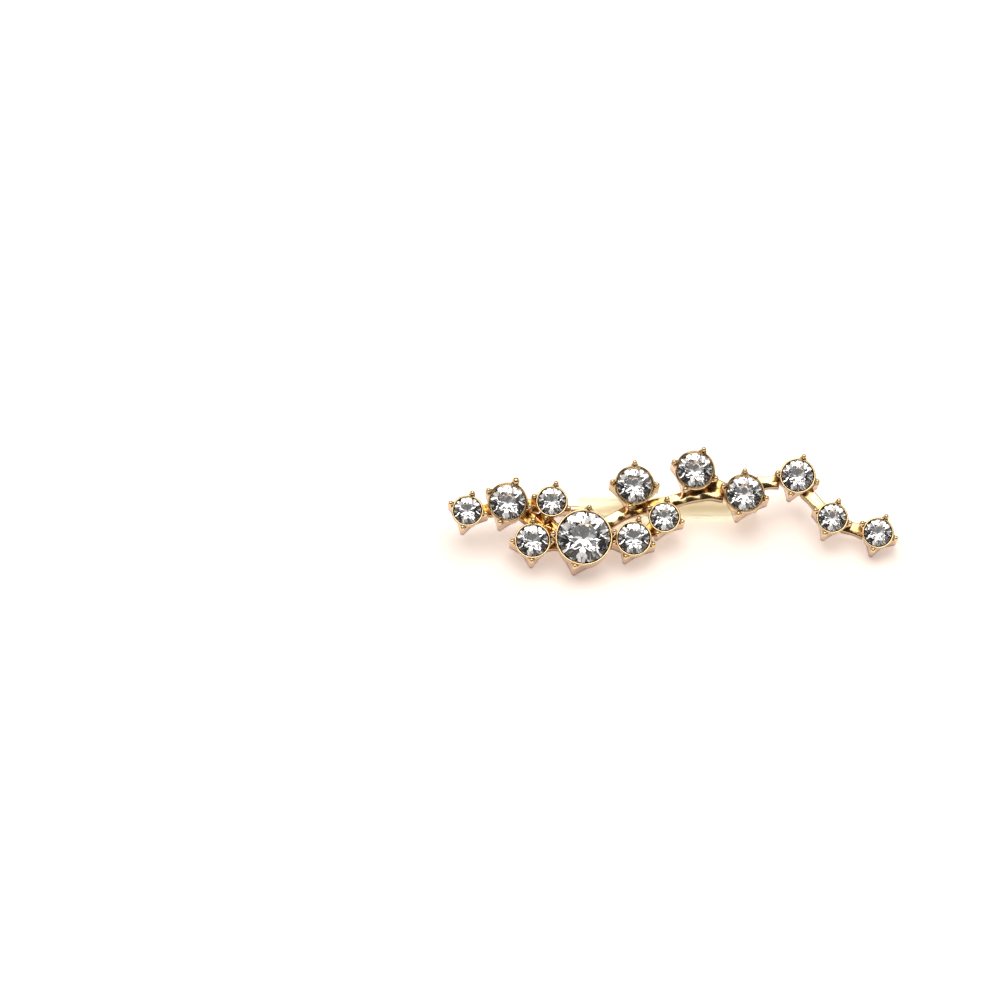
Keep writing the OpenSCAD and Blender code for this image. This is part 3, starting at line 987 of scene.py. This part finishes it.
class CLIMBER_OT_ear_wire(bpy.types.Operator):
    """Bends the ear wire and solders it behind the third cup"""

    bl_idname = "climber.ear_wire"
    bl_label = "Ear wire"

    SIDES = 32
    # How far the leg runs up into the cup, as a share of the metal at its back
    ROOT_IN = 0.8
    # Rows along the leg, round the bend, along the run and over the tip
    LEG_ROWS, BEND_ROWS, RUN_ROWS, TIP_ROWS = 6, 24, 30, 10
    SOLDER_ROWS, SOLDER_SIDES = 12, 48
    # Radius of the solder's end as a share of the wire's, and how far it runs into the cup
    SOLDER_END = 0.98
    SOLDER_IN = 0.05 * MM

    def execute(self, context):
        plan = Plan(context.scene)
        gold = finish_material(drawn_wire, context.scene)
        shells = [self.round_wire(plan), moved(self.solder(plan), [*plan.leg[:2], 0])]
        add_piece("ear_wire", shells, plan, gold, "gold_metal", "frame")
        return {"FINISHED"}

    def round_wire(self, plan):
        """A circle carried down the leg, round the bend and along the run, drawn in to a dome at the tip."""
        wire = plan.wire
        down = np.array([0, 0, -1.0])
        top = np.array([*plan.leg[:2], self.ROOT_IN * plan.metal.cup_back])
        leg = np.linspace(top, plan.leg, self.LEG_ROWS, endpoint=False)
        sweep = np.linspace(0, math.pi / 2 + plan.wire_climb, self.BEND_ROWS)[:, None]
        hub = plan.leg + wire.bend_r * plan.wire_out
        bend = hub - wire.bend_r * np.cos(sweep) * plan.wire_out + wire.bend_r * np.sin(sweep) * down
        run_l = wire.bare_l + wire.sleeve_l + wire.tip_l
        run = plan.bend_end + np.linspace(0, run_l, self.RUN_ROWS)[1:, None] * plan.wire_dir
        dome = np.linspace(0, math.pi / 2, self.TIP_ROWS)[1:-1]
        tip = run[-1] + wire.wire_r * np.sin(dome)[:, None] * plan.wire_dir
        path = np.vstack([leg, bend, run, tip])
        radius = np.concatenate([np.ones(len(path) - len(dome)), np.cos(dome)])
        turn = np.arange(self.SIDES) * 2 * math.pi / self.SIDES
        outline = wire.wire_r * np.stack([np.cos(turn), np.sin(turn)], -1)
        side = np.cross(down, plan.wire_out)
        return swept(path, side, outline, np.stack([radius, radius], -1))

    def solder(self, plan):
        """Hollow cone of solder round the leg: its radius falls as the square of the way down."""
        wire = plan.wire
        down = np.linspace(0, 1, self.SOLDER_ROWS)
        radius = wire.wire_r * self.SOLDER_END + (wire.solder_r - wire.wire_r) * (1 - down) ** 2
        skirt = np.stack([radius, -wire.solder_h * down], -1)[::-1]
        root = [[wire.solder_r, self.SOLDER_IN], [0, self.SOLDER_IN]]
        profile = np.vstack([[0, -wire.solder_h], skirt, root])
        return revolved(profile, self.SOLDER_SIDES)


class CLIMBER_OT_sleeve(bpy.types.Operator):
    """Slides the clear sleeve on the ear wire"""

    bl_idname = "climber.sleeve"
    bl_label = "Sleeve"

    SIDES = 96
    EDGE_ROUND = 0.05 * MM

    def execute(self, context):
        plan = Plan(context.scene)
        wire = plan.wire
        inner, outer, end = wire.bore_r, wire.sleeve_r, wire.sleeve_l
        edge = self.EDGE_ROUND
        corners = [
            (outer, end / 2), (outer, end), (inner, end), (inner, 0), (outer, 0), (outer, end / 2)
        ]
        profile = rounded(corners, [0, edge, edge, edge, edge, 0])[:-1]
        turn = np.array(Vector(plan.wire_dir).to_track_quat("Z", "Y").to_matrix())
        shell = moved(revolved(profile, self.SIDES, closed=True), plan.sleeve_start, turn)
        silicone = finish_material(clear_silicone, context.scene)
        add_piece("clear_sleeve", [shell], plan, silicone, "clear_sleeve", "sleeve")
        return {"FINISHED"}


class CLIMBER_OT_stage(bpy.types.Operator):
    """Sets the pale floor, the soft lights and the camera"""

    bl_idname = "climber.stage"
    bl_label = "Stage"

    FLOOR = 3.0
    PICTURE = 1000
    SENSOR = 36.0
    NEAR_CLIP = 0.01
    BOX_D = 0.6
    BOX_AT = (0.0, -0.05, 0.7)
    BOX_POWER = 2.7
    WALLS = (1.0, 0.99, 0.97, 1.0)
    PANELS = 5
    PANEL_EDGE = 0.35
    PANEL_LEVEL = 1.0
    GAP_LEVEL = 0.05
    DIM_LEVEL = 0.03
    DIM_TOP = (math.sin(math.radians(44)), math.sin(math.radians(60)))
    DIM_BACK = (-0.75, -0.45)

    def execute(self, context):
        scene = context.scene
        self.floor(scene)
        self.camera(scene)
        self.lights(scene)
        self.room(scene)
        scene.view_settings.view_transform = "Standard"
        scene.view_settings.look = "None"
        return {"FINISHED"}

    def floor(self, scene):
        """A flat square board at height 0, far wider than the picture."""
        half = self.FLOOR / 2
        mesh = bpy.data.meshes.new("floor")
        corners = [(-half, -half, 0), (half, -half, 0), (half, half, 0), (-half, half, 0)]
        mesh.from_pydata(corners, [], [(0, 1, 2, 3)])
        mesh.materials.append(finish_material(matt_board, scene))
        board = bpy.data.objects.new("floor", mesh)
        scene.collection.objects.link(board)

    def camera(self, scene):
        """Camera on a sphere round the aim point, rolled about its own axis."""
        stage = scene.climber_stage
        e, a = stage.elevation, stage.azimuth
        ahead = Vector((math.sin(a) * math.cos(e), math.cos(a) * math.cos(e), -math.sin(e)))
        right = Vector((math.cos(a), -math.sin(a), 0))
        up = right.cross(ahead)
        aim = stage.aim_across * right + stage.aim_up * up
        turned = math.cos(stage.roll) * right + math.sin(stage.roll) * up
        raised = turned.cross(ahead)
        data = bpy.data.cameras.new("camera")
        data.sensor_width = self.SENSOR
        data.lens = stage.scale / MM * stage.distance * self.SENSOR / self.PICTURE
        data.clip_start = self.NEAR_CLIP
        camera = bpy.data.objects.new("camera", data)
        turn = Matrix((turned, raised, -ahead)).transposed().to_4x4()
        camera.matrix_world = Matrix.Translation(aim - stage.distance * ahead) @ turn
        scene.collection.objects.link(camera)
        scene.camera = camera

    def lights(self, scene):
        """One round soft box overhead, a little towards the front."""
        data = bpy.data.lights.new("soft_box", "AREA")
        data.shape = "DISK"
        data.size = self.BOX_D
        data.energy = self.BOX_POWER
        box = bpy.data.objects.new("soft_box", data)
        box.location = self.BOX_AT
        scene.collection.objects.link(box)

    def room(self, scene):
        """Tall bright panels with dark gaps all round, and a dim field at the front, up to half way.

        The panels follow sin(PANELS * azimuth), from gap to panel over
        PANEL_EDGE either side of 0. t is 0 in the dim field and 1 outside it:
        it rises with the height of the direction (z) over DIM_TOP, and with
        how little it points to the front (y) over DIM_BACK, whichever is more.
        """
        world = bpy.data.worlds.new("room")
        world.use_nodes = True
        tree = world.node_tree
        tree.nodes.clear()
        way = node(tree, "ShaderNodeTexCoord").outputs["Generated"]
        parts = node(tree, "ShaderNodeSeparateXYZ", Vector=way).outputs
        azimuth = node(tree, "ShaderNodeMath", {"operation": "ARCTAN2"}, i0=parts["Y"], i1=parts["X"])
        phase = node(
            tree, "ShaderNodeMath", {"operation": "MULTIPLY"}, i0=azimuth.outputs["Value"], i1=self.PANELS
        )
        wave = node(tree, "ShaderNodeMath", {"operation": "SINE"}, i0=phase.outputs["Value"])
        walls = node(
            tree, "ShaderNodeMapRange", SMOOTH, Value=wave.outputs["Value"],
            From_Min=-self.PANEL_EDGE, From_Max=self.PANEL_EDGE,
            To_Min=self.GAP_LEVEL, To_Max=self.PANEL_LEVEL,
        ).outputs["Result"]
        rises = [
            node(
                tree, "ShaderNodeMapRange", SMOOTH, Value=parts[axis], From_Min=start, From_Max=end
            ).outputs["Result"]
            for axis, (start, end) in (("Z", self.DIM_TOP), ("Y", self.DIM_BACK))
        ]
        t = node(tree, "ShaderNodeMath", {"operation": "MAXIMUM"}, i0=rises[0], i1=rises[1])
        level = node(
            tree, "ShaderNodeMapRange", Value=t.outputs["Value"], To_Min=self.DIM_LEVEL, To_Max=walls
        )
        light = node(tree, "ShaderNodeBackground", Color=self.WALLS, Strength=level.outputs["Result"])
        node(tree, "ShaderNodeOutputWorld", Surface=light.outputs["Background"])
        scene.world = world


class CLIMBER_PT_panel(bpy.types.Panel):
    """Sizes, colours and steps of the ear climber"""

    bl_idname = "CLIMBER_PT_panel"
    bl_label = "Ear climber"
    bl_space_type = "VIEW_3D"
    bl_region_type = "UI"
    bl_category = "Ear climber"

    def draw(self, context):
        for section, group in SECTIONS.items():
            box = self.layout.box()
            for key in group.__annotations__:
                box.prop(getattr(context.scene, section), key)
        for step in STEPS:
            self.layout.operator(step.bl_idname)


STEPS = (
    CLIMBER_OT_stage,
    CLIMBER_OT_cups,
    CLIMBER_OT_prongs,
    CLIMBER_OT_links,
    CLIMBER_OT_ear_wire,
    CLIMBER_OT_sleeve,
    CLIMBER_OT_stones,
)
CLASSES = (*SECTIONS.values(), *STEPS, CLIMBER_PT_panel)


def register():
    """Registers the classes and hangs the settings on the scene."""
    for cls in CLASSES:
        bpy.utils.register_class(cls)
    for section, group in SECTIONS.items():
        setattr(bpy.types.Scene, section, PointerProperty(type=group))


def unregister():
    """Takes the settings and the classes away again."""
    for section in SECTIONS:
        delattr(bpy.types.Scene, section)
    for cls in reversed(CLASSES):
        bpy.utils.unregister_class(cls)


def main():
    """Registers the settings and runs every step in order."""
    register()
    for step in STEPS:
        group, name = step.bl_idname.split(".")
        getattr(getattr(bpy.ops, group), name)()


if __name__ == "__main__":
    main()
